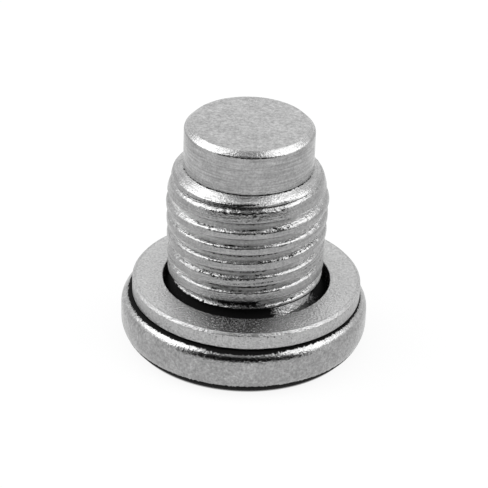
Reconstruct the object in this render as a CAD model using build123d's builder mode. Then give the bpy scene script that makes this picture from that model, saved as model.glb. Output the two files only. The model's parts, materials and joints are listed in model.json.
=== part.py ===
from build123d import *
import math
import os

# Oil drain plug with its loose sealing washer, in millimetres.
# The plug stands on the underside of its head with the threaded shank pointing up (+Z).
# The origin is the centre of the head's underside, on the axis of the thread.

# Head: a plain round flange, broken at its upper rim and rounded off towards its underside
head_margin_round_ring = 0.8
head_height = 4.35
head_upper_chamfer = 0.5
head_lower_rounding = 2.3
head_lower_sweep = 60.0

# Hexagon socket struck into the head's underside, for an 8 mm key
socket_across_flats = 8.0
socket_depth = 5.0
socket_mouth_break = 0.15

# Undercut neck between the head and the thread, below the crests by the undercut's depth
neck_undercut = 0.95
neck_length = 1.75
# Its foot flares out to just inside the crests, so that the washer still drops over it
neck_foot_inset = 0.1

# Thread M14 x 1.5, right-hand, rolled, so its crests are blunt and its grooves run to a V
thread_pitch = 1.5
thread_crest_radius = 6.95
thread_crest_flat = 0.55
thread_flank_angle = 60.0
thread_length = 10.4
thread_back_chamfer = 0.2
# Rolling filled the crests a little less beside the neck, where they stand lower by this much
crest_fade = 0.28
# At the far end they also stand lower, over a longer stretch before the lead-in cone
run_in_drop = 0.4
run_in_length = 2.1
# Height over the thread's lower end at which the middle of the groove crosses the +X side
groove_phase = 0.9

# Lead-in cone at the far end of the thread, narrowing down to the pilot, with its angle from the axis
lead_in_angle = 55.0

# Plain pilot past the thread, below the crests by the step's height, with a chamfered tip
pilot_step = 1.42
pilot_length = 3.9
tip_chamfer_radial = 0.5
tip_chamfer_axial = 0.4

# Sealing washer: it has to pass over the thread, and lies on the head
washer_bore_clearance = 0.25
washer_width = 2.65
washer_thickness = 1.45
washer_edge_chamfer = 0.1
# Where the loose washer came to lie, as a shift of its centre from the axis
washer_shift_x = 0.14
washer_shift_y = -0.14

# Heights and radii that follow from the sizes above
thread_start = head_height + neck_length
shoulder = thread_start + thread_length
tip = shoulder + pilot_length
flank_slope = math.tan(math.radians(thread_flank_angle / 2))
groove_depth = (thread_pitch - thread_crest_flat) / 2 / flank_slope
groove_bottom_radius = thread_crest_radius - groove_depth
crest_radius_at_neck = thread_crest_radius - crest_fade
neck_radius = thread_crest_radius - neck_undercut
neck_foot_chamfer = neck_undercut - neck_foot_inset
pilot_radius = thread_crest_radius - pilot_step
lead_in_radius = thread_crest_radius - run_in_drop
lead_in_length = (pilot_step - run_in_drop) / math.tan(math.radians(lead_in_angle))
lead_in_foot = shoulder - lead_in_length
washer_bore_radius = thread_crest_radius + washer_bore_clearance
washer_outer_radius = washer_bore_radius + washer_width
head_radius = washer_outer_radius + head_margin_round_ring

# The groove's cutter stands a little proud of the crests and runs out past both ends of the thread
cutter_proud = 0.06
cutter_run_out = 0.6
cutter_height = groove_depth + cutter_proud
cutter_half_width = cutter_height * flank_slope
groove_start = thread_start + groove_phase - thread_pitch
groove_turns = math.ceil((shoulder + cutter_run_out - groove_start) / thread_pitch)

# Groove cutter: one turn of a V, swept along a right-hand helix
with BuildPart() as groove_turn:
    with BuildLine() as groove_path:
        Helix(
            pitch=thread_pitch,
            height=thread_pitch,
            radius=groove_bottom_radius,
            center=(0, 0, groove_start),
        )
    groove_section = Plane(
        origin=groove_path.line @ 0,
        x_dir=(1, 0, 0),
        z_dir=groove_path.line % 0,
    )
    with BuildSketch(groove_section):
        with BuildLine():
            Polyline(
                (0, 0),
                (cutter_height, -cutter_half_width),
                (cutter_height, cutter_half_width),
                close=True,
            )
        make_face()
    sweep(path=groove_path.line, is_frenet=True)

# Plug body: one turned profile, with the thread groove and the key socket cut from it
with BuildPart() as plug_body:
    with BuildSketch(Plane.XZ):
        with BuildLine():
            rim = CenterArc(
                center=(
                    head_radius - head_lower_rounding,
                    head_lower_rounding * math.sin(math.radians(head_lower_sweep)),
                ),
                radius=head_lower_rounding,
                start_angle=-head_lower_sweep,
                arc_size=head_lower_sweep,
            )
            Polyline(
                rim @ 1,
                (head_radius, head_height - head_upper_chamfer),
                (head_radius - head_upper_chamfer, head_height),
                (neck_radius + neck_foot_chamfer, head_height),
                (neck_radius, head_height + neck_foot_chamfer),
                (neck_radius, thread_start),
                (crest_radius_at_neck - thread_back_chamfer, thread_start),
                (crest_radius_at_neck, thread_start + thread_back_chamfer),
                (thread_crest_radius, lead_in_foot - run_in_length),
                (lead_in_radius, lead_in_foot),
                (pilot_radius, shoulder),
                (pilot_radius, tip - tip_chamfer_axial),
                (pilot_radius - tip_chamfer_radial, tip),
                (0, tip),
                (0, 0),
                rim @ 0,
            )
        make_face()
    revolve(axis=Axis.Z)

    # The groove, cut one turn at a time, from the neck to past the shoulder
    for turn in range(groove_turns):
        with Locations((0, 0, turn * thread_pitch)):
            add(groove_turn.part, mode=Mode.SUBTRACT)

    # The hexagon for the key
    with BuildSketch():
        RegularPolygon(radius=socket_across_flats / 2, side_count=6, major_radius=False)
    extrude(amount=socket_depth, mode=Mode.SUBTRACT)

    # The countersink at its mouth, from just outside the hexagon's corners in to its flats
    socket_mouth_radius = socket_across_flats / math.sqrt(3) + socket_mouth_break
    Cone(
        bottom_radius=socket_mouth_radius,
        top_radius=socket_across_flats / 2,
        height=socket_mouth_radius - socket_across_flats / 2,
        align=(Align.CENTER, Align.CENTER, Align.MIN),
        mode=Mode.SUBTRACT,
    )
plug_body.part.label = "plug_body"

# Sealing washer: a flat ring, lying on the head with its centre a little off the axis
with BuildPart() as sealing_washer:
    with BuildSketch(Plane.XY.offset(head_height)):
        with Locations((washer_shift_x, washer_shift_y)):
            Circle(washer_outer_radius)
            Circle(washer_bore_radius, mode=Mode.SUBTRACT)
    extrude(amount=washer_thickness)
    washer_edges = sealing_washer.edges().filter_by(GeomType.CIRCLE)
    outer_edges = washer_edges.sort_by(SortBy.RADIUS)[-2:]
    chamfer(outer_edges, washer_edge_chamfer)
sealing_washer.part.label = "sealing_washer"

os.makedirs("parts", exist_ok=True)
export_step(plug_body.part, "parts/plug_body.step")
export_step(sealing_washer.part, "parts/sealing_washer.step")
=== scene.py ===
# %% [markdown]
# A drain plug and its loose sealing ring, dressed in Blender.
# The plug closes the hole in the bottom of an engine's oil pan. A hexagon key turns it in from below, and
# the flat metal ring under its head is squeezed until it seals.
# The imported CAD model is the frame: it fixes every size and place, and this script adds the looks.
# Lengths are in millimetres until they go into a mesh, which holds metres as the frame does.

# %% Load the frame
import json
import math

import bpy
import numpy as np
from mathutils import Matrix, Vector


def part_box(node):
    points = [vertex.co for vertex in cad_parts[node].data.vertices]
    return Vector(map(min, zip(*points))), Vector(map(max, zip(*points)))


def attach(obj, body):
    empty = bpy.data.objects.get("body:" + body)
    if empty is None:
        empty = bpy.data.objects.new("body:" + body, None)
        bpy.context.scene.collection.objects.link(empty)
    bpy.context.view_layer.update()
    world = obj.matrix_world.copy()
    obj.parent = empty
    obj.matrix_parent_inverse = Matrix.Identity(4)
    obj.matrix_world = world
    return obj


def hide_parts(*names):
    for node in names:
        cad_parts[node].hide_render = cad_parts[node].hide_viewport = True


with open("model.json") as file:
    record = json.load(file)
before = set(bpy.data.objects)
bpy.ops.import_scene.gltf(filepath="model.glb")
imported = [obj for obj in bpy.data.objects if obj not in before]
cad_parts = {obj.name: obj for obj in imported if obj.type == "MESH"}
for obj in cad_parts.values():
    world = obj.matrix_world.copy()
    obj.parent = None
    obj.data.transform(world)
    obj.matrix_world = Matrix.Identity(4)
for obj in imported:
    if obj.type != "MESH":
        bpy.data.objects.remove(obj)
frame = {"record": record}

MM = 0.001
FULL_TURN = 2 * math.pi
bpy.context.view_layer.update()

# %% [markdown]
# The main sizes come from the frame, so the looks can't drift away from the solids.
# The box of a piece gives its ends on each axis, and a mount gives the radius that a mating part meets.

# %% Read the main sizes
plug_low, plug_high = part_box("plug_body")
ring_low, ring_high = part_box("sealing_washer")
mounts = {mount["name"]: mount for mount in frame["record"]["mounts"]}

head_radius = (plug_high.x - plug_low.x) / 2 / MM
tip = plug_high.z / MM
head_height = ring_low.z / MM
ring_top = ring_high.z / MM
ring_radius = (ring_high.x - ring_low.x) / 2 / MM
ring_centre = (ring_low + ring_high) / 2 / MM
pilot_radius = mounts["pilot"]["dims"]["r_mm"]
print("head radius", round(head_radius, 3), "tip", round(tip, 3), "pilot radius", pilot_radius)
print("ring from", round(head_height, 3), "to", round(ring_top, 3), "radius", round(ring_radius, 3))

# %% [markdown]
# Both pieces are grids of points that numpy works out at once, with a table of corner numbers, one row a
# face. A Screw modifier would be shorter, but it can't make a thread that runs out at both ends.
# Where a grid closes on itself or runs out against an edge, neighbouring corners are the same point.
# Such corners are dropped, which turns a four-sided face into a triangle, or into nothing.
# This keeps every seam and pole closed without merging points afterwards.


# %% One function puts a surface into Blender
def surface_mesh(name, points, corners, smooth_below=38.0):
    """A mesh of these points (millimetres) and faces. A corner equal to the one before it in its face
    is dropped, a face left with fewer than three goes, and points that no face uses go too. Edges are
    smooth where two faces meet at less than smooth_below degrees."""
    fresh = corners != np.roll(corners, 1, axis=1)
    sides = fresh.sum(axis=1)
    whole = sides >= 3
    used, loops = np.unique(corners[whole][fresh[whole]], return_inverse=True)
    starts = np.concatenate(([0], np.cumsum(sides[whole])[:-1]))
    mesh = bpy.data.meshes.new(name)
    mesh.vertices.add(len(used))
    mesh.vertices.foreach_set("co", (points[used] * MM).astype(np.float32).ravel())
    mesh.loops.add(len(loops))
    mesh.loops.foreach_set("vertex_index", loops.astype(np.int32).ravel())
    mesh.polygons.add(len(starts))
    mesh.polygons.foreach_set("loop_start", starts.astype(np.int32))
    mesh.update(calc_edges=True)
    mesh.polygons.foreach_set("use_smooth", np.ones(len(starts), bool))
    mesh.set_sharp_from_angle(angle=math.radians(smooth_below))
    triangles = int((sides[whole] - 2).sum())
    print(name, "points", len(used), "triangles", triangles)
    return mesh, used


# %% Another stores what the material reads
def point_attribute(mesh, name, kind, values):
    """Stores one number or vector a point, which a material can read by its name."""
    field = "vector" if kind == "FLOAT_VECTOR" else "value"
    attribute = mesh.attributes.new(name, kind, "POINT")
    attribute.data.foreach_set(field, values.astype(np.float32).ravel())


# %% [markdown]
# The head, the pilot and the ring were turned on a lathe or stamped, so each is a profile carried round an
# axis. A profile is a short list of corners, each with the radius that rounds it.
# No real edge is perfectly sharp: the rounding is what catches the light as a thin line. Rounding in the
# profile costs less than a bevel modifier and gives each edge its own size.


# %% A profile with rounded corners
def rounded_profile(corners, steps=5):
    """Points (radius, height) along straight runs between corners (radius, height, rounding).
    A rounding is the arc that touches both runs: its centre lies on the corner's bisector, at the
    rounding divided by the sine of half the angle, and the arc turns through 180 degrees less the angle."""
    out = [np.array([corners[0][:2]])]
    for before, here, after in zip(corners, corners[1:], corners[2:]):
        corner = np.array(here[:2])
        back = np.array(before[:2]) - corner
        ahead = np.array(after[:2]) - corner
        back = back / np.linalg.norm(back)
        ahead = ahead / np.linalg.norm(ahead)
        rounding = here[2]
        if rounding == 0:
            out.append(corner[None, :])
            continue
        half = math.acos(np.clip(back @ ahead, -1, 1)) / 2
        bisector = (back + ahead) / np.linalg.norm(back + ahead)
        centre = corner + bisector * rounding / math.sin(half)
        spoke = corner + back * rounding / math.tan(half) - centre
        side = np.sign(ahead[0] * back[1] - ahead[1] * back[0])
        turn = np.linspace(0, 1, steps) * (math.pi - 2 * half) * side
        arc = np.stack([
            spoke[0] * np.cos(turn) - spoke[1] * np.sin(turn),
            spoke[0] * np.sin(turn) + spoke[1] * np.cos(turn),
        ], axis=1)
        out.append(centre + arc)
    out.append(np.array([corners[-1][:2]]))
    return np.concatenate(out)


# %% A profile carried round the axis
columns = 420
angles = np.arange(columns) * FULL_TURN / columns


def circle_rows(profile, angle=angles):
    """Rows of points, one for each (radius, height) of the profile, each a full circle: the radius
    times the cosine and the sine of the angle, and the height."""
    radius = np.broadcast_to(profile[:, :1], (len(profile), len(angle)))
    height = np.broadcast_to(profile[:, 1:2], radius.shape)
    return np.stack([radius * np.cos(angle), radius * np.sin(angle), height], axis=2)


print("a column every", round(FULL_TURN * head_radius / columns, 3), "mm round the head")

# %% [markdown]
# A rolled thread is never even: the metal tears a little where it folds over, and dirt lies in streaks.
# Random numbers a point would look like sand. A sum of waves gives long, soft streaks instead, and with a
# whole number of waves round the axis it has no seam. The waves can climb with the thread, as its marks do.


# %% Waves that close round the axis
def ripple(angle, height, along, across, seed, waves=48, lead=0.0):
    """A wavy field of about unit size: the sum of sine waves in angle and height, with seeded phases.
    Each has a whole number of waves round the axis, so it closes on itself. along is the most waves
    per radian along the lay, across the most per millimetre across it, lead the lay's rise per turn."""
    draw = np.random.default_rng(seed)
    total = np.zeros(np.broadcast(angle, height).shape)
    for _ in range(waves):
        up = draw.uniform(-across, across) * FULL_TURN
        round_axis = round(draw.uniform(-along, along) - up * lead / FULL_TURN)
        total = total + np.sin(round_axis * angle + up * height + draw.uniform(0, FULL_TURN))
    return total * math.sqrt(2 / waves)


# %% Four small shapes that everything below is put together from
def smaller(a, b, blend):
    """The lesser of two radii, with the corner between them rounded off over about the blend's length:
    the mean of the two, less half the root of their squared difference plus the squared blend."""
    return 0.5 * (a + b - np.sqrt((a - b) ** 2 + blend ** 2))


def bump_at(value, centre, width):
    """A bell of height 1 at the centre, which falls to 1/e at this distance from it."""
    return np.exp(-((value - centre) / width) ** 2)


def soft_step(value, low, high):
    """Rises from 0 at low to 1 at high and is level at both: 3 t squared less 2 t cubed."""
    t = np.clip((value - low) / (high - low), 0, 1)
    return t * t * (3 - 2 * t)


def soft_fall(value, low, high):
    """Falls from 1 at low to 0 at high: one less the soft step."""
    return 1 - soft_step(value, low, high)


# %% [markdown]
# The thread is M14 x 1.5: 14 mm across its crests, with 1.5 mm from one crest to the next. It was rolled:
# two dies pressed the groove in, and the metal rose between them into blunt crests.
# A Screw modifier on a small profile would give a thread with loose ends. A Boolean cut would leave long,
# thin faces. Here the radius is one formula of angle and height, so the thread, the bevel at its lower
# end and the lead-in cone at its upper end flow into each other, and every wear mark can use it too.

# %% Sizes of the thread
pitch = 1.5
flank_lean = math.radians(30)
flank_rise = 1 / math.tan(flank_lean)
crest_radius = 6.95
crest_flat = 0.55
root_radius = crest_radius - (pitch - crest_flat) / 2 * flank_rise
root_rounding = 0.05
groove_at_zero = 5.5
thread_low = 6.12
thread_high = 16.2
rim_radius = 6.5
print("groove depth", round(crest_radius - root_radius, 3))
print("turns of thread", round((thread_high - thread_low) / pitch, 2))

# %% Sizes of its two ends
neck_radius = 6.0
neck_foot_radius = 6.94
neck_drop = 0.28
run_in_drop = 0.55
run_in_low = 13.6
run_in_high = 16.05
shoulder = 16.5
cone_lean = math.radians(58)
cone_rise = math.tan(cone_lean)
print("crests fall by", neck_drop, "towards the neck and by", run_in_drop, "towards the pilot")


# %% Where the grooves and the crests are
def groove_offset(angle, height):
    """Height over the middle of the nearest groove, which climbs by one pitch a turn: below it, to minus
    half a pitch, lies the flank that faces up, and above it the one that faces down."""
    into = height - groove_at_zero - pitch * angle / FULL_TURN
    return (into + pitch / 2) % pitch - pitch / 2


def crest_line(height):
    """Radius of the crests at a height: they fall off in a straight line towards the neck, and with the
    way to the power 1.1 towards the pilot. The whole thread stays a little inside the CAD's crests."""
    inset = 0.006
    to_neck = np.maximum(0, (run_in_low - height) / (run_in_low - thread_low))
    to_pilot = np.maximum(0, (height - run_in_low) / (run_in_high - run_in_low))
    return crest_radius - inset - neck_drop * to_neck - run_in_drop * to_pilot ** 1.1


def edge_offset(height):
    """How far from the groove's middle its flanks reach the crests: the depth there over the flank's
    rise."""
    return np.maximum(0, crest_line(height) - root_radius) / flank_rise


# %% Unevenness of the thread, in millimetres
edge_rounding_mean = 0.13
edge_rounding_swing = 0.09
tear_depth = 0.02
tear_width = 0.2
chip_depth = 0.02
chip_rarity = 1.1
crest_waviness = 0.003
slit_depth = 0.12
slit_angle = math.radians(289)
slit_reach = 0.11
slit_over_edge = 0.04
slit_width = 0.05
slit_height = 15.25
slit_fade = 0.4
bevel_blend = 0.06
cone_blend = 0.05


# %% The thread as one formula
def thread_radius(angle, height):
    """Radius of the thread at an angle and a height: the least of the groove's two flanks, the crest,
    which falls off towards both ends, the bevel at its lower end and the lead-in cone. A crest's upper
    edge is round and torn, where the rolled metal closed over, and its lower edge is crisp."""
    offset = groove_offset(angle, height)
    over_edge = offset + edge_offset(height)
    tears = ripple(angle, height, along=60, across=1.2, seed=11, lead=pitch)
    chips = ripple(angle, height, along=90, across=1.5, seed=12, lead=pitch)
    waviness = ripple(angle, height, along=40, across=1.2, seed=13, lead=pitch)
    flank = root_radius + np.sqrt((flank_rise * offset) ** 2 + root_rounding ** 2)
    flank = flank + tear_depth * tears * bump_at(over_edge, 0, tear_width)
    crest = crest_line(height) - chip_depth * np.maximum(0, chips - chip_rarity)
    crest = crest + crest_waviness * waviness
    edge_rounding = edge_rounding_mean - edge_rounding_swing * np.sin(FULL_TURN * offset / pitch)
    body = smaller(flank, crest, edge_rounding)
    slit = bump_at(angle, slit_angle, slit_reach) * bump_at(over_edge, slit_over_edge, slit_width)
    body = body - slit_depth * slit * bump_at(height, slit_height, slit_fade)
    bevel = rim_radius + (height - thread_low)
    cone = pilot_radius + (shoulder - height) * cone_rise
    return smaller(smaller(body, bevel, bevel_blend), cone, cone_blend)


# %% [markdown]
# Below the thread lie the key's socket, the head and the neck. The socket faces the floor, but the part
# can be turned over in use, so it is built: a hexagon that a punch pressed in, with a countersunk mouth.
# Each row is a share of the hexagon's own radius at each angle. The countersink is a cone, and the
# surface is whichever of the two lies further out.

# %% The socket from its floor to its mouth
socket_half_flats = 4.0
socket_depth = 5.0
hexagon_side = math.radians(60)
mouth_break = 0.15
socket_mouth = socket_half_flats / math.cos(hexagon_side / 2) + mouth_break
hexagon = socket_half_flats / np.cos((angles % hexagon_side) - hexagon_side / 2)
socket_heights = np.array([5.0, 5.0, 4.97, 3.6, 2.2, 1.0, 0.77, 0.6, 0.45, 0.3, 0.15, 0.03])
socket_shares = np.ones(len(socket_heights))
socket_shares[:2] = [0.5, 0.985]
socket_radius = np.maximum(
    socket_shares[:, None] * hexagon,
    (socket_mouth - socket_heights)[:, None],
)
socket_rows = np.stack([
    socket_radius * np.cos(angles),
    socket_radius * np.sin(angles),
    np.broadcast_to(socket_heights[:, None], socket_radius.shape),
], axis=2)
print("socket across corners", round(2 * float(hexagon.max()), 2), "mouth", round(2 * socket_mouth, 2))

# %% [markdown]
# The head is a plain round flange, turned and tumbled, so that its rims are soft: a wide rounding below
# and a narrower one above. The neck behind the thread is turned thinner, and its foot flares out.

# %% The head and the neck
head_profile = rounded_profile([
    (socket_mouth + 0.03, 0.0, 0),  # mouth of the socket
    (6.5, 0.0, 0),
    (9.5, 0.0, 0.1),  # outer edge of the flat it stands on
    (head_radius, 0.664, 2.2),  # wide rounding of the lower rim
    (head_radius, head_height - 0.18, 1.18),  # upper rim
    (9.0, head_height - 0.1, 0),  # gap under the ring's outer edge
    (8.2, head_height, 0),  # flat that the ring lies on
    (7.2, head_height, 0),
    (neck_foot_radius, head_height, 0.08),  # flared foot of the neck
    (neck_foot_radius, head_height + 0.27, 0.12),
    (neck_radius + 0.03, thread_low - 0.12, 0.1),  # bottom of the undercut
    (neck_radius + 0.11, thread_low - 0.03, 0),
], steps=9)
lower_rows = np.concatenate([socket_rows, circle_rows(head_profile)])
print("rows below the thread", len(lower_rows))

# %% [markdown]
# Above the thread a plain pilot leads the plug into its hole. It was turned, with a narrow chamfer at
# the tip. The thread's cone ends in a small shoulder at its foot.

# %% The shoulder, the pilot and the tip
pilot_profile = rounded_profile([
    (pilot_radius + (shoulder - thread_high) * cone_rise, thread_high, 0),  # end of the cone
    (pilot_radius + 0.07, shoulder - 0.1, 0.03),
    (pilot_radius - 0.07, shoulder - 0.03, 0.03),  # fine groove that the tool left
    (pilot_radius, shoulder + 0.07, 0.04),
    (pilot_radius, 17.5, 0),
    (pilot_radius, tip - 0.47, 0.3),  # lower edge of the chamfer
    (pilot_radius - 0.5, tip, 0.06),  # rim of the tip
    (2.5, tip, 0),
    (1.0, tip, 0),
], steps=7)
high_circle = circle_rows(pilot_profile[:1])
upper_rows = circle_rows(pilot_profile[1:])
print("rows above the thread", len(upper_rows))

# %% [markdown]
# Between the head's rows and the pilot's, the rows climb with the helix: row i, carried once round, meets
# row i + n, where n is the number of rows in one pitch. So every row keeps to its own place on the groove.
# The stations are those places, in millimetres over the groove's middle, and stand closest where the
# crest's edges need them.

# %% Rows that climb with the helix
stations = np.array([
    0.0, 0.12, 0.28, 0.4, 0.45, 0.485, 0.53, 0.62, 0.72, 0.82,
    0.89, 0.95, 1.0, 1.05, 1.11, 1.18, 1.28, 1.4,
])
per_pitch = len(stations)
first = math.floor((thread_low - pitch - groove_at_zero) / pitch) * pitch + groove_at_zero
pitches = math.ceil((thread_high - first) / pitch) + 1
starts = (first + np.arange(pitches)[:, None] * pitch + stations[None, :]).ravel()
helix_heights = starts[:, None] + pitch * angles / FULL_TURN
helix_radius = thread_radius(angles, helix_heights)
helix_points = np.stack([
    helix_radius * np.cos(angles),
    helix_radius * np.sin(angles),
    helix_heights,
], axis=2)
print("rows that climb", len(starts), "in", pitches, "pitches")
print("thread radius from", round(helix_radius.min(), 3), "to", round(helix_radius.max(), 3))

# %% The circle they start from
low_radius = thread_radius(angles, np.full(columns, thread_low))
low_circle = np.stack([
    low_radius * np.cos(angles),
    low_radius * np.sin(angles),
    np.full(columns, thread_low),
], axis=1)[None]
print("lower end of the thread, mean radius", round(low_radius.mean(), 3))

# %% [markdown]
# A climbing row may start below the thread or end above it. Each of its points that lies past an end, or
# less than the snug distance short of it, takes the number of the circle's point there. The faces past an
# end then have only repeated corners and drop out, so the thread runs into a plain circle at both ends
# with no gap and no loose edge.

# %% Number the points
plug_rows = np.concatenate([lower_rows, low_circle, helix_points, high_circle, upper_rows])
numbers = np.arange(plug_rows.shape[0] * columns).reshape(-1, columns)
poles = np.array([[0, 0, socket_depth], [0, 0, tip]])
plug_points = np.concatenate([plug_rows.reshape(-1, 3), poles])
floor_pole = len(plug_points) - 2
tip_pole = len(plug_points) - 1

low_row = len(lower_rows)
helix_row = low_row + 1
high_row = helix_row + len(starts)
snug = 0.02
helix_numbers = numbers[helix_row:high_row]
helix_numbers = np.where(helix_heights < thread_low + snug, numbers[low_row], helix_numbers)
helix_numbers = np.where(helix_heights > thread_high - snug, numbers[high_row], helix_numbers)
beyond = np.full(per_pitch, numbers[high_row, 0])
after_a_turn = np.concatenate([helix_numbers[per_pitch:, 0], beyond])
print("points numbered", len(plug_points))


# %% List the faces
def faces_between(table):
    """Faces of a table of point numbers whose last column repeats its first: each joins two rows
    and two columns, in the order that turns it outwards."""
    quads = [table[:-1, :-1], table[:-1, 1:], table[1:, 1:], table[1:, :-1]]
    return np.stack(quads, axis=2).reshape(-1, 4)


def closed(table):
    """The table with its first column repeated at the end, so that its rows close round the axis."""
    return np.concatenate([table, table[:, :1]], axis=1)


floor_row = np.full((1, columns), floor_pole)
tip_row = np.full((1, columns), tip_pole)
plug_faces = np.concatenate([
    faces_between(closed(np.concatenate([floor_row, numbers[:low_row + 1]]))),
    faces_between(np.concatenate([helix_numbers, after_a_turn[:, None]], axis=1)),
    faces_between(closed(np.concatenate([numbers[high_row:], tip_row]))),
])
plug_mesh, plug_used = surface_mesh("plug", plug_points, plug_faces)

# %% [markdown]
# A lathe tool and a rolling die leave fine marks that run round the axis. That direction is called the
# lay, and the material needs to know it. A texture stretched by object axes would smear on a round part.
# So an attribute gives coordinates that change slowly along the lay and fast across it.
# On the thread the fast ones turn once a pitch, so the marks climb with the helix and no seam shows.
# Slow is 0.35 a millimetre, a mark about 3 mm long. Fast is 7 a millimetre, marks 0.14 mm apart: real
# ones are nearer 0.05 mm apart, but a pixel of the render covers 0.09 mm, so they are drawn coarser.
# Tumbled surfaces have no lay: there all three coordinates change evenly, at 3 a millimetre. On the
# thread the third climbs by 0.15 a millimetre, so that no turn repeats the one below it.

# %% Coordinates that follow the lay
slow = 0.35
fast = 7.0
even = 3.0
climb = 0.15


def lay_of(points, run):
    """Coordinates for tool marks: slow along the lay, and fast with the length run along the profile."""
    return np.stack([slow * points[..., 0], slow * points[..., 1], fast * run], axis=-1)


def run_length(rows):
    """Length along the profile from the first row, measured at the first column: the sum of the
    distances from point to point."""
    steps = np.linalg.norm(np.diff(rows[:, 0], axis=0), axis=1)
    return np.concatenate([[0], np.cumsum(steps)])


# %% The lay of the head, the pilot and the thread
lower_lay = even * lower_rows
upper_all = np.concatenate([high_circle, upper_rows])
upper_lay = lay_of(upper_all, np.broadcast_to(run_length(upper_all)[:, None], upper_all.shape[:2]))
upper_lay = np.where(upper_all[..., 2:] > tip - 0.01, even * upper_all, upper_lay)
helix_all = np.concatenate([low_circle, helix_points])
swing = (helix_all[..., 2] - pitch * angles / FULL_TURN) * FULL_TURN / pitch
around_pitch = crest_flat + 2 * (crest_radius - root_radius) / math.cos(flank_lean)
reach = fast * around_pitch / FULL_TURN
helix_lay = np.stack([
    slow * helix_all[..., 0] + reach * np.cos(swing),
    slow * helix_all[..., 1] + reach * np.sin(swing),
    climb * helix_all[..., 2],
], axis=-1)
plug_lay = np.concatenate([
    lower_lay.reshape(-1, 3),
    helix_lay.reshape(-1, 3),
    upper_lay.reshape(-1, 3),
    even * poles,
])
point_attribute(plug_mesh, "lay", "FLOAT_VECTOR", plug_lay[plug_used])
print("surface length over one pitch", round(around_pitch, 2), "mm")

# %% [markdown]
# The plating isn't the same all over. Dies rolled the thread, which left its flanks paler and rougher than
# the turned surfaces, and tore the crests' upper edges. Dirt stayed wherever a cloth doesn't reach, and
# painted shade darkens the grooves and the corners that light doesn't reach.
# Painting this by hand would need an image. Instead four numbers a point tell the material what is there:
# rolled, torn, matt and residue_and_shade. Each is put together from soft steps and bells in angle, radius,
# height and the distance from the groove's middle.

# %% Where each point of the plug lies
plug_at = plug_points[plug_used]
at_angle = np.arctan2(plug_at[:, 1], plug_at[:, 0]) % FULL_TURN
at_radius = np.hypot(plug_at[:, 0], plug_at[:, 1])
at_height = plug_at[:, 2]
offset = groove_offset(at_angle, at_height)
edge = edge_offset(at_height)
front = math.radians(268)
# front_shade is a bell round the front, which mirrors the black card: it makes the lines below darker there,
# as painted shade.
front_shade = bump_at(at_angle, front, 0.55)
print("points that carry wear", len(plug_at))

# %% Which surface each point belongs to
crest_starts = 0.32
crest_is_whole = 0.12
threaded = soft_step(at_height, thread_low - 0.01, thread_low + 0.02)
threaded = threaded * soft_fall(at_height, thread_high - 0.25, thread_high + 0.01)
threaded = threaded * soft_step(at_radius, pilot_radius, pilot_radius + 0.2)
on_crest = soft_step(np.abs(offset), edge - crest_starts, edge - crest_is_whole)
on_crest = np.maximum(on_crest, 0.75 * soft_step(at_height, 14.4, 15.3))
on_tip = soft_step(at_height, tip - 0.05, tip)
on_chamfer = soft_step(at_height, tip - 0.45, tip - 0.35) * (1 - on_tip)
turned_side = soft_step(at_height, shoulder, shoulder + 0.2) * (1 - on_tip) * (1 - on_chamfer)
on_cone = soft_step(at_height, run_in_high - 0.05, run_in_high + 0.05)
on_cone = on_cone * soft_fall(at_height, shoulder - 0.04, shoulder)
# upper_rim_highlight is a painted highlight: a paler band along the head's upper rim, where its rounding
# catches a thin bright line.
upper_rim_highlight = bump_at(at_height, 3.84, 0.09) * (at_radius > 9.5)
on_head = at_height < head_height - 0.01

# %% [markdown]
# Rolled is 1 on the flanks that the dies pressed, and 0 on a crest or on plain turned metal. The other
# surfaces lie between: a share makes them as pale and as rough as they look on the real part. On the
# head's upper rim the share is a painted highlight: it makes the thin bright line there paler.
# Matt is 1 on the flat of the tip. A face that looks straight up is a plain mirror for one spot of the
# studio, and from behind that spot is the black card, so as pure metal the tip would look like a hole.

# %% Rolled, torn and matt
torn_width = 0.16
rolled = threaded * (1 - on_crest) * (1 - on_cone)
for surface, share in (
    (on_cone, 0.22),
    (on_tip, 0.3),
    (on_chamfer, 0.44),
    (turned_side, 0.08),
    (on_head, 0.02),
    # painted highlight along the head's upper rim
    (upper_rim_highlight, 0.2),
):
    rolled = rolled + share * surface
torn = threaded * bump_at(offset, -edge, torn_width)
point_attribute(plug_mesh, "rolled", "FLOAT", np.clip(rolled, 0, 1))
point_attribute(plug_mesh, "torn", "FLOAT", torn)
point_attribute(plug_mesh, "matt", "FLOAT", on_tip)
print("rolled points", int((rolled > 0.5).sum()), "torn points", int((torn > 0.5).sum()))

# %% [markdown]
# Dirt on a part like this is old oil with metal dust in it: streaks along the torn edges and thin lines on
# the crests. The same black stands for painted shade as well: in the bottom of the grooves, in the fine
# groove at the pilot's foot, on the thread's last turn, in the neck, under the ring's edge and round the foot
# of the head, where light hardly reaches. residue_and_shade counts both: under 0.3 the metal is clean, round
# 0.6 it is speckled, and from 1.2 it is covered. The grooves are darkest at the front, where the photograph
# shows them, and that is painted shade too. The back is a guess.

# %% Painted shade in the grooves, and dirt with painted shade along the torn edges
line_width = 0.06
over_torn_edge = 0.13
lay_line_rarity = 1.1
torn_streaks = ripple(at_angle, at_height, along=30, across=2.4, seed=14, lead=pitch)
torn_streaks = np.clip(0.5 + 0.5 * torn_streaks, 0, 1)
torn_line = threaded * bump_at(offset, over_torn_edge - edge, line_width) * soft_fall(at_height, 14.4, 15.2)
# Along the torn edges the streaks are dirt, with painted shade added towards the front.
torn_dirt_and_shade = (0.5 + 0.6 * front_shade) * torn_streaks * torn_line
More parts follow.
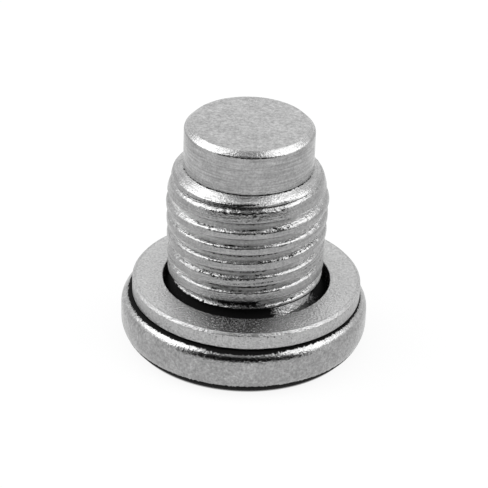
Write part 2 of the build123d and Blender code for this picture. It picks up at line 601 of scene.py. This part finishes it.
# Painted shade: black lines along the bottom of the grooves, darkest at the front.
root_streaks = ripple(at_angle, at_height, along=8, across=0.6, seed=15, lead=pitch)
root_streaks = np.clip(0.7 + 0.35 * root_streaks, 0, 1)
root_line = threaded * bump_at(offset, 0.0, line_width)
root_shade = (0.75 + 0.3 * front_shade) * root_streaks * root_line
# Thin dirt lines on the crests, a little darker at the front, where that is painted shade.
lay_lines = ripple(at_angle, at_height, along=6, across=3.2, seed=16, lead=pitch)
lay_lines = np.clip(lay_lines - lay_line_rarity, 0, 1)
lay_lines = (0.6 + 0.2 * front_shade) * lay_lines * threaded
print("dirtiest point of the grooves", round(float((root_shade + torn_dirt_and_shade + lay_lines).max()), 2))

# %% Dark lines and painted shade at the two ends of the thread
upper_line_height = 16.02
lower_line_height = 15.74
run_in_line_width = 0.05
# Painted shade: a thin black line in the fine groove at the pilot's foot.
shoulder_groove_shade = bump_at(at_height, shoulder - 0.03, 0.045)
# Two dark lines on the lead-in, darker at the front, where painted shade is added to them.
run_in_lines = bump_at(at_height, upper_line_height, run_in_line_width)
run_in_lines = run_in_lines + 0.75 * bump_at(at_height, lower_line_height, run_in_line_width)
run_in_lines = (0.3 + 0.7 * front_shade) * run_in_lines * (at_radius > pilot_radius + 0.1)
# Painted shade on the front of the thread's last turn, just above the ring.
thread_end_shade = 0.6 * soft_fall(at_height, 6.2, 6.9) * bump_at(at_angle, front, 0.3) * threaded

# %% Painted shade in the neck, left off on the side where the neck catches a highlight
neck_shade_cover = 1.6
unshaded_side = soft_step(at_angle, math.radians(288), math.radians(298))
unshaded_side = unshaded_side * soft_fall(at_angle, math.radians(322), math.radians(345))
# The neck is painted black as shade, deep between the thread and the ring; unshaded_side keeps it off the
# side that catches a highlight.
neck_shade = neck_shade_cover * soft_fall(at_height, 6.05, 6.3) * (1 - unshaded_side)
neck_shade = neck_shade * (at_height > head_height - 0.01) * (at_radius < 7.4)

# %% Painted shade under the ring's edge and round the foot of the head
full_shade_cover = 1.7
foot_shade_haze = 0.2
ledge = 10.15 + 0.1 * bump_at(at_angle, math.radians(270), 0.3)
on_ledge = (at_radius > 8.5) * (at_height > 3.6)
# Painted shade: the head's rim under the ring's outer edge is painted black, as it lies in the ring's shadow.
ledge_shade = full_shade_cover * soft_fall(at_radius - ledge, -0.09, 0.03) * on_ledge
# Painted shade: the head's lower rounding darkens towards the floor and is black at the bottom, where it
# mirrors its own contact shadow.
foot_shade = foot_shade_haze * soft_fall(at_height, 0.9, 1.9) + full_shade_cover * soft_fall(at_height, 0.8, 1.05)
foot_shade = foot_shade * (at_radius > 9)

# %% All of the plug's dirt and painted shade
dirt_and_shade = root_shade + torn_dirt_and_shade + lay_lines + run_in_lines + shoulder_groove_shade + thread_end_shade + foot_shade
residue_and_shade = np.clip(np.maximum(neck_shade, ledge_shade) + dirt_and_shade, 0, 2)
point_attribute(plug_mesh, "residue_and_shade", "FLOAT", residue_and_shade)
print("dirty points", int((residue_and_shade > 0.5).sum()))

# %% [markdown]
# The sealing ring looks stamped from sheet: a flat ring with a narrow rounding at each edge and a small
# chamfer round its upper rim. It is a rectangle with broken corners, carried round its own centre, which
# lies a little off the plug's axis, because the ring is loose. A torus or a cylinder with a hole would
# need a boolean or a bevel afterwards.

# %% The sealing ring
ring_width = 2.65
ring_bore = ring_radius - ring_width
ring_profile = rounded_profile([
    (8.5, head_height, 0),  # lower face
    (ring_radius, head_height, 0.12),
    (ring_radius, ring_top - 0.22, 0.02),  # chamfer of the upper rim
    (ring_radius - 0.2, ring_top, 0.02),
    (ring_radius - 0.4, ring_top, 0),  # upper face
    (ring_bore, ring_top, 0.12),
    (ring_bore, head_height, 0.09),
    (8.5, head_height, 0),  # back at the start, which is then dropped
], steps=7)[:-1]
ring_rows = circle_rows(ring_profile) + np.array([ring_centre.x, ring_centre.y, 0])
ring_numbers = np.arange(len(ring_rows) * columns).reshape(-1, columns)
ring_table = closed(np.concatenate([ring_numbers, ring_numbers[:1]]))
ring_mesh, ring_used = surface_mesh("ring", ring_rows.reshape(-1, 3), faces_between(ring_table))
point_attribute(ring_mesh, "lay", "FLOAT_VECTOR", even * ring_rows.reshape(-1, 3)[ring_used])

# %% [markdown]
# The ring uses the same numbers, where rolled means bright: its upper face is, and its rim is duller.
# The photograph shows a dark patch on the front, close to the thread. It is a painted reflection and painted
# shade: near-black paint that stands for the thread's dark mirror image and shade on the ring, on metal that
# is rubbed smooth and mirrors the black card, which is a guess. The bore's wall is painted with shade as
# well. The rest of the upper face is matt, for the reason given for the tip.

# %% Where the ring is bright, matt, dirty or painted with shade
ring_at = ring_rows.reshape(-1, 3)[ring_used]
from_centre = np.hypot(ring_at[:, 0] - ring_centre.x, ring_at[:, 1] - ring_centre.y)
ring_angle = np.arctan2(ring_at[:, 1], ring_at[:, 0]) % FULL_TURN
on_top = soft_step(ring_at[:, 2], ring_top - 0.06, ring_top)
in_bore = soft_fall(from_centre, ring_bore, ring_bore + 0.05)
inside_rim = soft_fall(from_centre, ring_radius - 0.4, ring_radius - 0.2)
upper_side = soft_step(ring_at[:, 2], ring_top - 0.3, ring_top - 0.2)
at_rim = upper_side * (1 - on_top) * soft_step(from_centre, ring_radius - 0.25, ring_radius - 0.15)
rubbed = bump_at(ring_angle, front, 0.75)
# thread_shade_cover and bore_shade_cover are painted shade: the thread's dark reflection on the front, and
# the bore's wall deep in the gap.
thread_shade_cover = 0.86
bore_shade_cover = 0.7
rim_cover = 0.32
thread_shade = bump_at(ring_angle, math.radians(267), 0.27) * bump_at(from_centre, 7.2, 2.0) * upper_side
# ring_shade_and_dirt: painted shade in the bore and on the front, and dirt on the rim.
ring_shade_and_dirt = np.maximum(bore_shade_cover * in_bore * (1 - on_top), thread_shade_cover * thread_shade) + rim_cover * at_rim
point_attribute(ring_mesh, "rolled", "FLOAT", on_top * inside_rim)
point_attribute(ring_mesh, "torn", "FLOAT", np.zeros(len(ring_at)))
point_attribute(ring_mesh, "matt", "FLOAT", on_top * (1 - rubbed))
point_attribute(ring_mesh, "residue_and_shade", "FLOAT", ring_shade_and_dirt)
print("dirty points on the ring", int((ring_shade_and_dirt > 0.5).sum()))

# %% [markdown]
# Materials. Bare metal has no colour of its own beyond what it mirrors, so its finish is all in how
# rough it is and how its small unevenness tilts the reflections.


# %% Two helpers for materials
def linear(code):
    """The linear colour of an sRGB code such as #9a9a9a: a channel c becomes c / 12.92 below 0.04045,
    and otherwise ((c + 0.055) / 1.055) to the power 2.4."""
    channels = np.array([int(code[i:i + 2], 16) for i in (1, 3, 5)]) / 255
    low = channels / 12.92
    high = ((channels + 0.055) / 1.055) ** 2.4
    return (*np.where(channels < 0.04045, low, high), 1.0)


def add_node(tree, kind, inputs=None, **settings):
    """Adds a node of a kind, with its settings, and its inputs as values or as sockets to link from."""
    node = tree.nodes.new(kind)
    for name, value in settings.items():
        setattr(node, name, value)
    for key, value in (inputs or {}).items():
        if isinstance(value, bpy.types.NodeSocket):
            tree.links.new(value, node.inputs[key])
        else:
            node.inputs[key].default_value = value
    return node


# %% [markdown]
# Four noises make the finish, each as large as what it stands for.
# Patches, 1.1 mm: plating comes out a little thicker here than there, and the metal changes tone.
# Grain, about 0.2 mm: the crystals of the plating, or the grain that tumbling leaves. Real grain is near
# 0.02 mm and would vanish between pixels of 0.09 mm, so it is drawn as coarse as two of them.
# Lumps, 0.3 mm: the ragged crest edges, which are about that coarse in the photograph.
# Marks: the tool marks, in the coordinates of the lay, which already hold their size.

# %% Sizes of the patterns
patch_mm = 1.1
lump_mm = 0.3
lump_depth_mm = 0.045
noise_roughness = 0.6


def metal_patterns(tree, grain_mm):
    """The four patterns of a metal by name. A noise has about one blotch a unit at scale 1, so its scale
    is one over the blotch's size in metres."""
    place = add_node(tree, "ShaderNodeTexCoord").outputs["Object"]
    lay = add_node(tree, "ShaderNodeAttribute", attribute_name="lay").outputs["Vector"]
    found = {}
    for name, coordinates, scale, detail in (
        ("patches", place, 1 / (patch_mm * MM), 3.0),
        ("grain", place, 1 / (grain_mm * MM), 2.0),
        ("lumps", place, 1 / (lump_mm * MM), 2.0),
        ("marks", lay, 1.0, 2.0),
    ):
        found[name] = add_node(tree, "ShaderNodeTexNoise", {
            "Vector": coordinates, "Scale": scale, "Detail": detail, "Roughness": noise_roughness,
        }).outputs["Fac"]
    return found


# %% [markdown]
# The clean colour goes from dull to bright with the rolled number, and the patches shift that a little.
# Grain and marks then make it lighter and darker by a set share. A noise seldom leaves 0.3 to 0.7, so
# that range is spread over the range that is wanted.

# %% Colour of the clean metal
noise_low = 0.3
noise_high = 0.7
patch_share = 0.15


def clean_colour(tree, patterns, rolled, dull, bright, speckle, streaks):
    """The mix of dull and bright by the rolled number, times the speckle, times the streaks."""
    spread = {}
    for name, low, high, clamp in (
        ("patches", -patch_share, patch_share, True),
        ("grain", 1 - speckle, 1 + speckle, False),
        ("marks", 1 - streaks, 1 + streaks, False),
    ):
        spread[name] = add_node(tree, "ShaderNodeMapRange", {
            "Value": patterns[name], "From Min": noise_low, "From Max": noise_high,
            "To Min": low, "To Max": high,
        }, clamp=clamp).outputs["Result"]
    share = add_node(tree, "ShaderNodeMath", {
        0: rolled, 1: spread["patches"],
    }, operation="ADD", use_clamp=True).outputs[0]
    tone = add_node(tree, "ShaderNodeMix", {
        0: share, 6: linear(dull), 7: linear(bright),
    }, data_type="RGBA").outputs[2]
    fleck = add_node(tree, "ShaderNodeMath", {
        0: spread["grain"], 1: spread["marks"],
    }, operation="MULTIPLY").outputs[0]
    return add_node(tree, "ShaderNodeMix", {
        0: 1.0, 6: tone, 7: fleck,
    }, data_type="RGBA", blend_type="MULTIPLY").outputs[2]


# %% [markdown]
# Dirt and painted shade cover the metal where residue_and_shade is high enough. The grain decides where a
# thin layer breaks up into specks. The cover is matt and black, and doesn't mirror: even a black metal would
# shine at a low angle.

# %% How much dirt and painted shade cover the metal
# One near-black paint stands for dirt and for painted shade.
dirt_and_shade_black = "#101010"
dirt_and_shade_rough = 0.8
dirt_and_shade_gain = 3.2
speck_gain = 10.0
speck_level = 7.0


def dirt_and_shade_cover(tree, grain, residue_and_shade):
    """0 where the metal is clean and 1 where dirt and painted shade cover it: residue_and_shade times its
    gain, plus the grain times the speck gain, less the speck level, held between 0 and 1."""
    speck = add_node(tree, "ShaderNodeMath", {
        0: grain, 1: speck_gain, 2: -speck_level,
    }, operation="MULTIPLY_ADD").outputs[0]
    return add_node(tree, "ShaderNodeMath", {
        0: residue_and_shade, 1: dirt_and_shade_gain, 2: speck,
    }, operation="MULTIPLY_ADD", use_clamp=True).outputs[0]


# %% [markdown]
# The unevenness is far too shallow to be worth points in the mesh, so bump nodes tilt the shading with
# it. Each bump takes the normal of the one before: tool marks first, then grain, then the torn lumps.


# %% Unevenness that tilts the reflections
def uneven_normal(tree, patterns, torn, grain_depth, lay_depth):
    """Tool marks, then the grain, then lumps where the metal is torn, each with its depth in mm."""
    ragged = add_node(tree, "ShaderNodeMath", {
        0: patterns["lumps"], 1: torn,
    }, operation="MULTIPLY").outputs[0]
    normal = add_node(tree, "ShaderNodeBump", {
        "Height": patterns["marks"], "Distance": lay_depth * MM, "Strength": 1.0,
    }).outputs["Normal"]
    for height, depth in ((patterns["grain"], grain_depth), (ragged, lump_depth_mm)):
        normal = add_node(tree, "ShaderNodeBump", {
            "Height": height, "Distance": depth * MM, "Strength": 1.0, "Normal": normal,
        }).outputs["Normal"]
    return normal


# %% [markdown]
# The shader is a Principled BSDF. Metallic is 1 less the cover of dirt and painted shade, and half of that
# where the surface is matt: there the metal scatters part of the light instead of mirroring it. The part
# that isn't metal has hardly any gloss of its own.

# %% Metal finishes
matt_share = 0.5
nonmetal_gloss = 0.1


def metal(name, dull, bright, rough, speckle, streaks, grain_mm, grain_depth, lay_depth):
    """Bare or plated metal. Its colour and roughness go from dull to bright with the rolled number, a
    fine grain speckles it, tool marks streak it along the lay, torn edges are lumpy, and dirt and painted
    shade are nearly black. rough is the roughness where it is dull and where it is bright."""
    material = bpy.data.materials.new(name)
    material.use_nodes = True
    tree = material.node_tree
    shader = tree.nodes["Principled BSDF"]
    shader.inputs["Specular IOR Level"].default_value = nonmetal_gloss
    wear = {
        wanted: add_node(tree, "ShaderNodeAttribute", attribute_name=wanted).outputs["Fac"]
        for wanted in ("rolled", "torn", "matt", "residue_and_shade")
    }
    patterns = metal_patterns(tree, grain_mm)
    clean = clean_colour(tree, patterns, wear["rolled"], dull, bright, speckle, streaks)
    dirt_and_shade = dirt_and_shade_cover(tree, patterns["grain"], wear["residue_and_shade"])
    colour = add_node(tree, "ShaderNodeMix", {
        0: dirt_and_shade, 6: clean, 7: linear(dirt_and_shade_black),
    }, data_type="RGBA").outputs[2]
    finish = add_node(tree, "ShaderNodeMapRange", {
        "Value": wear["rolled"], "To Min": rough[0], "To Max": rough[1],
    }).outputs["Result"]
    roughness = add_node(tree, "ShaderNodeMix", {0: dirt_and_shade, 2: finish, 3: dirt_and_shade_rough}).outputs[0]
    bare = add_node(tree, "ShaderNodeMath", {0: 1.0, 1: dirt_and_shade}, operation="SUBTRACT").outputs[0]
    mirror = add_node(tree, "ShaderNodeMath", {
        0: wear["matt"], 1: -matt_share, 2: 1.0,
    }, operation="MULTIPLY_ADD").outputs[0]
    metallic = add_node(tree, "ShaderNodeMath", {0: bare, 1: mirror}, operation="MULTIPLY").outputs[0]
    tree.links.new(colour, shader.inputs["Base Color"])
    tree.links.new(roughness, shader.inputs["Roughness"])
    tree.links.new(metallic, shader.inputs["Metallic"])
    normal = uneven_normal(tree, patterns, wear["torn"], grain_depth, lay_depth)
    tree.links.new(normal, shader.inputs["Normal"])
    print(name, "has", len(tree.nodes), "nodes")
    return material


# %% [markdown]
# The plug is taken for zinc-plated steel, by its neutral grey: turned on a lathe, its thread rolled, then
# plated and tumbled with other plugs. Thin, clear zinc gives the eye a neutral grey that mirrors softly.
# Where the tool ran it is smooth and dark, 0.18 rough. Where the dies pressed it is pale and satin, 0.4
# rough.

# %% Zinc-plated steel, turned and rolled
zinc_plated_steel = metal(
    "zinc_plated_steel_turned_and_rolled", "#9a9a9a", "#d0d0d0", rough=(0.18, 0.4),
    speckle=0.2, streaks=0.2, grain_mm=0.18, grain_depth=0.03, lay_depth=0.02,
)

# %% [markdown]
# The ring is taken for soft aluminium, stamped from sheet and tumbled to take the burr off. That gives the
# eye a paler, even grey that sparkles finely: a deep grain, hardly any tool marks, and a flat upper face that
# is smoother than the rim.

# %% Stamped aluminium
stamped_aluminium = metal(
    "stamped_aluminium_ring", "#b2b2b2", "#c6c6c6", rough=(0.3, 0.17),
    speckle=0.24, streaks=0.08, grain_mm=0.2, grain_depth=0.085, lay_depth=0.01,
)

# %% [markdown]
# Nothing on the part moves by itself, so both pieces ride on the frame's root. Each takes the place of
# the CAD node that it dresses, and has a slot by which its material can be swapped.

# %% Pieces ride on the frame
for mesh, name, node, slot, material in (
    (plug_mesh, "turned_plug", "plug_body", "plated_steel", zinc_plated_steel),
    (ring_mesh, "flat_ring", "sealing_washer", "ring_metal", stamped_aluminium),
):
    piece = bpy.data.objects.new(name, mesh)
    bpy.context.scene.collection.objects.link(piece)
    mesh.materials.append(material)
    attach(piece, "root")
    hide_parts(node)
    print(name, "replaces", node)

# %% [markdown]
# The studio. A polished part shows its surroundings more than itself, so the surroundings make the
# picture: a white floor and white walls light it evenly, two softboxes at the sides give the bright
# streaks, and a black card behind the camera gives the dark lines along upward edges.


# %% Helpers for the studio
def stage_plane(name, corners, material):
    """A flat or bent sheet of the studio from rows of points."""
    rows, across = corners.shape[:2]
    table = np.arange(rows * across).reshape(rows, across)
    mesh = bpy.data.meshes.new(name)
    mesh.from_pydata((corners.reshape(-1, 3) * MM).tolist(), [], faces_between(table).tolist())
    sheet = bpy.data.objects.new(name, mesh)
    bpy.context.scene.collection.objects.link(sheet)
    mesh.materials.append(material)
    return sheet


def plain(name, code, glow=0.0):
    """A matt studio surface of one colour, which glows a little where its strength says so."""
    material = bpy.data.materials.new(name)
    material.use_nodes = True
    shader = material.node_tree.nodes["Principled BSDF"]
    shader.inputs["Base Color"].default_value = linear(code)
    shader.inputs["Roughness"].default_value = 1.0
    shader.inputs["Specular IOR Level"].default_value = 0.0
    shader.inputs["Emission Color"].default_value = linear("#ffffff")
    shader.inputs["Emission Strength"].default_value = glow
    return material


def seen_directly(tree):
    """1 for what the camera sees straight, in a reflection or through glass, and 0 for light that
    falls on something matt."""
    ray = add_node(tree, "ShaderNodeLightPath").outputs
    seen = add_node(tree, "ShaderNodeMath", {
        0: ray["Is Camera Ray"], 1: ray["Is Glossy Ray"],
    }, operation="ADD").outputs[0]
    return add_node(tree, "ShaderNodeMath", {
        0: seen, 1: ray["Is Transmission Ray"],
    }, operation="ADD", use_clamp=True).outputs[0]


# %% [markdown]
# The floor is painted card. A paper-white floor that is only lit never comes out pure white, so what is
# seen of it glows as well. Ambient occlusion takes the glow away close to the part, within 0.12 mm, and
# that keeps the thin contact shadow. The paint itself is a middle grey, so it throws little light back.

# %% White floor that keeps the contact shadow
floor_glow = 0.9
contact_mm = 0.12
floor_size = 900
floor_drop = 0.02
white_floor = plain("white_floor", "#5a5a5a")
floor_tree = white_floor.node_tree
floor_shader = floor_tree.nodes["Principled BSDF"]
open_sky = add_node(floor_tree, "ShaderNodeAmbientOcclusion", {
    "Distance": contact_mm * MM,
}, samples=8).outputs["AO"]
lit = add_node(floor_tree, "ShaderNodeMath", {
    0: seen_directly(floor_tree), 1: floor_glow,
}, operation="MULTIPLY").outputs[0]
lit = add_node(floor_tree, "ShaderNodeMath", {0: lit, 1: open_sky}, operation="MULTIPLY").outputs[0]
floor_tree.links.new(lit, floor_shader.inputs["Emission Strength"])
floor_corners = np.array([
    [[-floor_size, -floor_size, -floor_drop], [floor_size, -floor_size, -floor_drop]],
    [[-floor_size, floor_size, -floor_drop], [floor_size, floor_size, -floor_drop]],
], float)
stage_plane("floor", floor_corners, white_floor)
print("floor", 2 * floor_size, "mm across, its top", floor_drop, "mm below the part")

# %% [markdown]
# The cards hang in an arc behind the camera, one above the other: black up to 50 degrees, then three
# greys that get lighter towards the top. Only reflections see them: they throw no shadow, and don't darken
# matt surfaces. A single grey card would leave the metal flat, without the dark lines that draw its form.

# %% A black card and grey ones over it
card_distance = 600
card_azimuth = np.radians(np.linspace(-60, 60, 25))
for name, low, high, glow in (
    ("black_card", 7, 50, 0.0),
    ("grey_card_low", 50, 60, 0.35),
    ("grey_card_middle", 60, 74, 0.42),
    ("grey_card_high", 74, 100, 0.75),
):
    card_elevation = np.radians(np.linspace(low, high, 9))[:, None]
    card_points = np.stack([
        card_distance * np.cos(card_elevation) * np.sin(card_azimuth),
        -card_distance * np.cos(card_elevation) * np.cos(card_azimuth),
        card_distance * np.sin(card_elevation) * np.ones_like(card_azimuth),
    ], axis=2)
    card = stage_plane(name, card_points, plain(name, "#0c0c0c", glow))
    card.visible_camera = False
    card.visible_diffuse = False
    card.visible_shadow = False
    print(name, "from", low, "to", high, "degrees")

# %% [markdown]
# A softbox is a lamp behind white cloth, so a flat rectangle of light stands for it. Its size sets how
# wide the bright streak on a round part is, and two at unequal strength keep the sides from being twins.


# %% Softboxes
def softbox(name, azimuth, elevation, width, height, radiance, distance=500):
    """A flat light that faces the object, of this width and height in millimetres. Azimuth is the angle
    from the front towards +X. A flat light's power is its radiance times four times its area."""
    lamp = bpy.data.lights.new(name, "AREA")
    lamp.shape = "RECTANGLE"
    lamp.size = width * MM
    lamp.size_y = height * MM
    lamp.energy = radiance * lamp.size * lamp.size_y * 4
    box = bpy.data.objects.new(name, lamp)
    bpy.context.scene.collection.objects.link(box)
    turned = math.radians(azimuth)
    raised = math.radians(elevation)
    outward = Vector((
        math.sin(turned) * math.cos(raised),
        -math.cos(turned) * math.cos(raised),
        math.sin(raised),
    ))
    box.location = outward * distance * MM
    box.rotation_mode = "QUATERNION"
    box.rotation_quaternion = outward.to_track_quat("Z", "Y")
    box.visible_camera = False
    print(name, "power", round(lamp.energy, 3), "W")


softbox("softbox_left", azimuth=-92, elevation=50, width=440, height=400, radiance=2.0)
softbox("softbox_right", azimuth=84, elevation=50, width=440, height=400, radiance=1.65)

# %% [markdown]
# White walls all round, as in a light tent. Straight on and in reflections they are pure white. As a
# light on matt surfaces they are weaker, so the floor keeps its shadow.

# %% White surroundings
world_light = 0.55
world = bpy.data.worlds.new("white_studio")
bpy.context.scene.world = world
world.use_nodes = True
sky = world.node_tree
level = add_node(sky, "ShaderNodeMapRange", {
    "Value": seen_directly(sky), "To Min": world_light, "To Max": 1.0,
}).outputs["Result"]
background = sky.nodes["Background"]
background.inputs["Color"].default_value = linear("#ffffff")
sky.links.new(level, background.inputs["Strength"])
print("matt surfaces are lit by the walls at", world_light)

# %% [markdown]
# The camera stands where the photograph's did: a long lens from nearly 30 degrees above, fitted to the
# plug's own circles, with the picture turned by two degrees. A long lens from far away keeps the circles
# at the top and the bottom nearly alike, as they are in the photograph.

# %% Camera
camera_place = Vector((0.0, -182.9, 112.5)) * MM
camera_aim = Vector((-0.16, -0.28, 8.95)) * MM
camera_roll = math.radians(2.01)
camera_data = bpy.data.cameras.new("camera")
camera_data.lens = 180.8
camera_data.sensor_width = 36.0
camera_data.clip_start = 0.01
camera_data.clip_end = 5.0
camera = bpy.data.objects.new("camera", camera_data)
bpy.context.scene.collection.objects.link(camera)
ahead = (camera_aim - camera_place).normalized()
level_turn = ahead.to_track_quat("-Z", "Y")
camera.rotation_mode = "QUATERNION"
camera.location = camera_place
camera.rotation_quaternion = level_turn @ Matrix.Rotation(camera_roll, 3, "Z").to_quaternion()
bpy.context.scene.camera = camera
bpy.context.scene.view_settings.view_transform = "Standard"
print("camera looks down by", round(math.degrees(math.asin(-ahead.z)), 1), "degrees")
